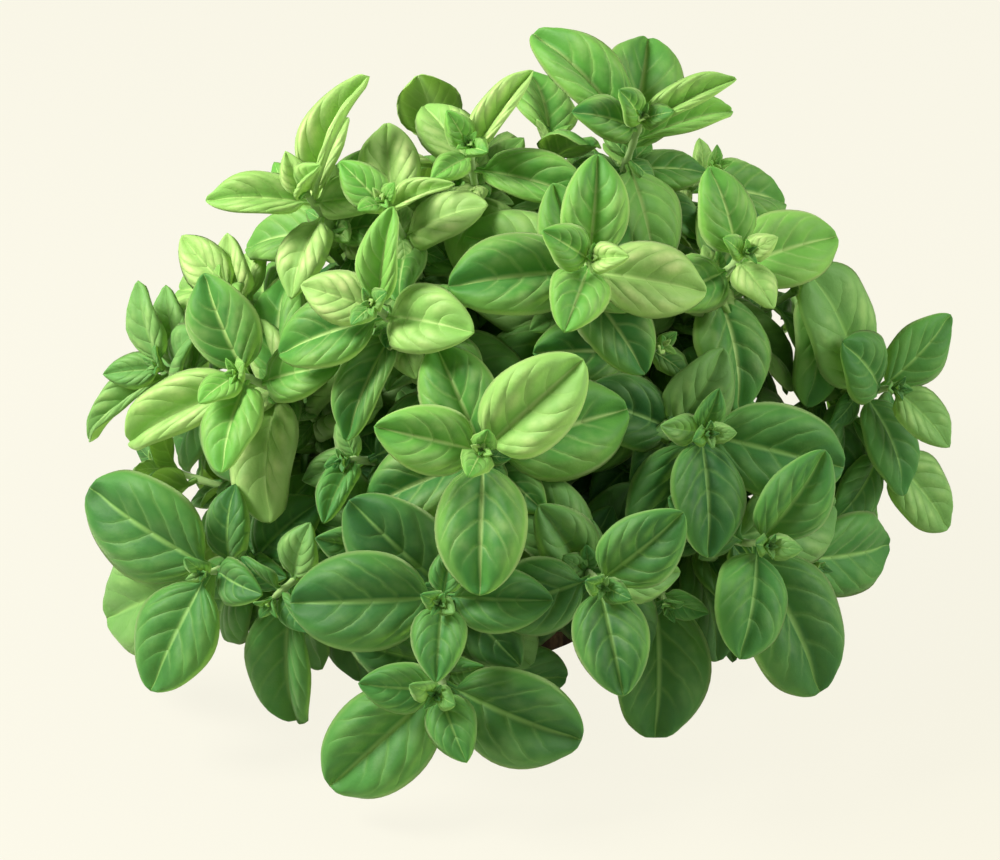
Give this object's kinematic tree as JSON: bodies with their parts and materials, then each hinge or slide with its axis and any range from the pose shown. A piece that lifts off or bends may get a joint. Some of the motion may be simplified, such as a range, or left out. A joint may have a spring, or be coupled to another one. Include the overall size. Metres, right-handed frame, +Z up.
{
  "type": "oregano plant",
  "caption": "Domed cushion of leafy oregano: square stems with opposite ovate leaves rise from a woody crown cut flat, on which the plant stands.",
  "frame": {"origin": "middle of the crown's flat cut face, on the surface the plant stands on", "axes": "+Z up through the crown, the showing side faces -Y, +X to the plant's right-hand side in front view"},
  "size_m": [0.2055, 0.1826, 0.1452],
  "materials": {
    "bright_foliage": "soft satin living leaf, yellow green, with paler veins and margin, finely haired",
    "deep_foliage": "soft satin living leaf, deeper green, with paler veins and margin, finely haired",
    "wood": "matt fissured bark with a paler sawn face below"
  },
  "bodies": {
    "root": {"shoot_back_high_1": "bright_foliage", "shoot_back_high_2": "bright_foliage", "shoot_back_high_3": "bright_foliage", "shoot_back_high_4": "bright_foliage", "shoot_back_low_1": "deep_foliage", "shoot_back_low_2": "deep_foliage", "shoot_back_low_3": "deep_foliage", "shoot_back_low_4": "deep_foliage", "shoot_back_low_5": "deep_foliage", "shoot_back_low_6": "deep_foliage", "shoot_back_middle_1": "deep_foliage", "shoot_back_middle_2": "deep_foliage", "shoot_back_middle_3": "deep_foliage", "shoot_back_middle_4": "deep_foliage", "shoot_back_middle_5": "deep_foliage", "shoot_back_top_1": "bright_foliage", "shoot_back_top_2": "bright_foliage", "shoot_centre": "bright_foliage", "shoot_crest": "bright_foliage", "shoot_deep_right": "bright_foliage", "shoot_edge_right": "deep_foliage", "shoot_far_left": "deep_foliage", "shoot_far_right": "deep_foliage", "shoot_front_left": "deep_foliage", "shoot_front_step": "deep_foliage", "shoot_hanging_left": "deep_foliage", "shoot_hanging_right": "deep_foliage", "shoot_high_right": "bright_foliage", "shoot_inner_left": "deep_foliage", "shoot_inner_right": "deep_foliage", "shoot_left": "bright_foliage", "shoot_low_far_right": "deep_foliage", "shoot_low_front": "deep_foliage", "shoot_low_left": "deep_foliage", "shoot_lower_middle": "deep_foliage", "shoot_lower_right": "deep_foliage", "shoot_middle_left": "bright_foliage", "shoot_shoulder_left": "bright_foliage", "shoot_shoulder_right": "bright_foliage", "shoot_top": "bright_foliage", "shoot_top_left": "bright_foliage", "shoot_upper_left": "bright_foliage", "shoot_upper_middle": "bright_foliage", "shoot_upper_right": "bright_foliage", "woody_crown": "wood"}
  },
  "joints": []
}
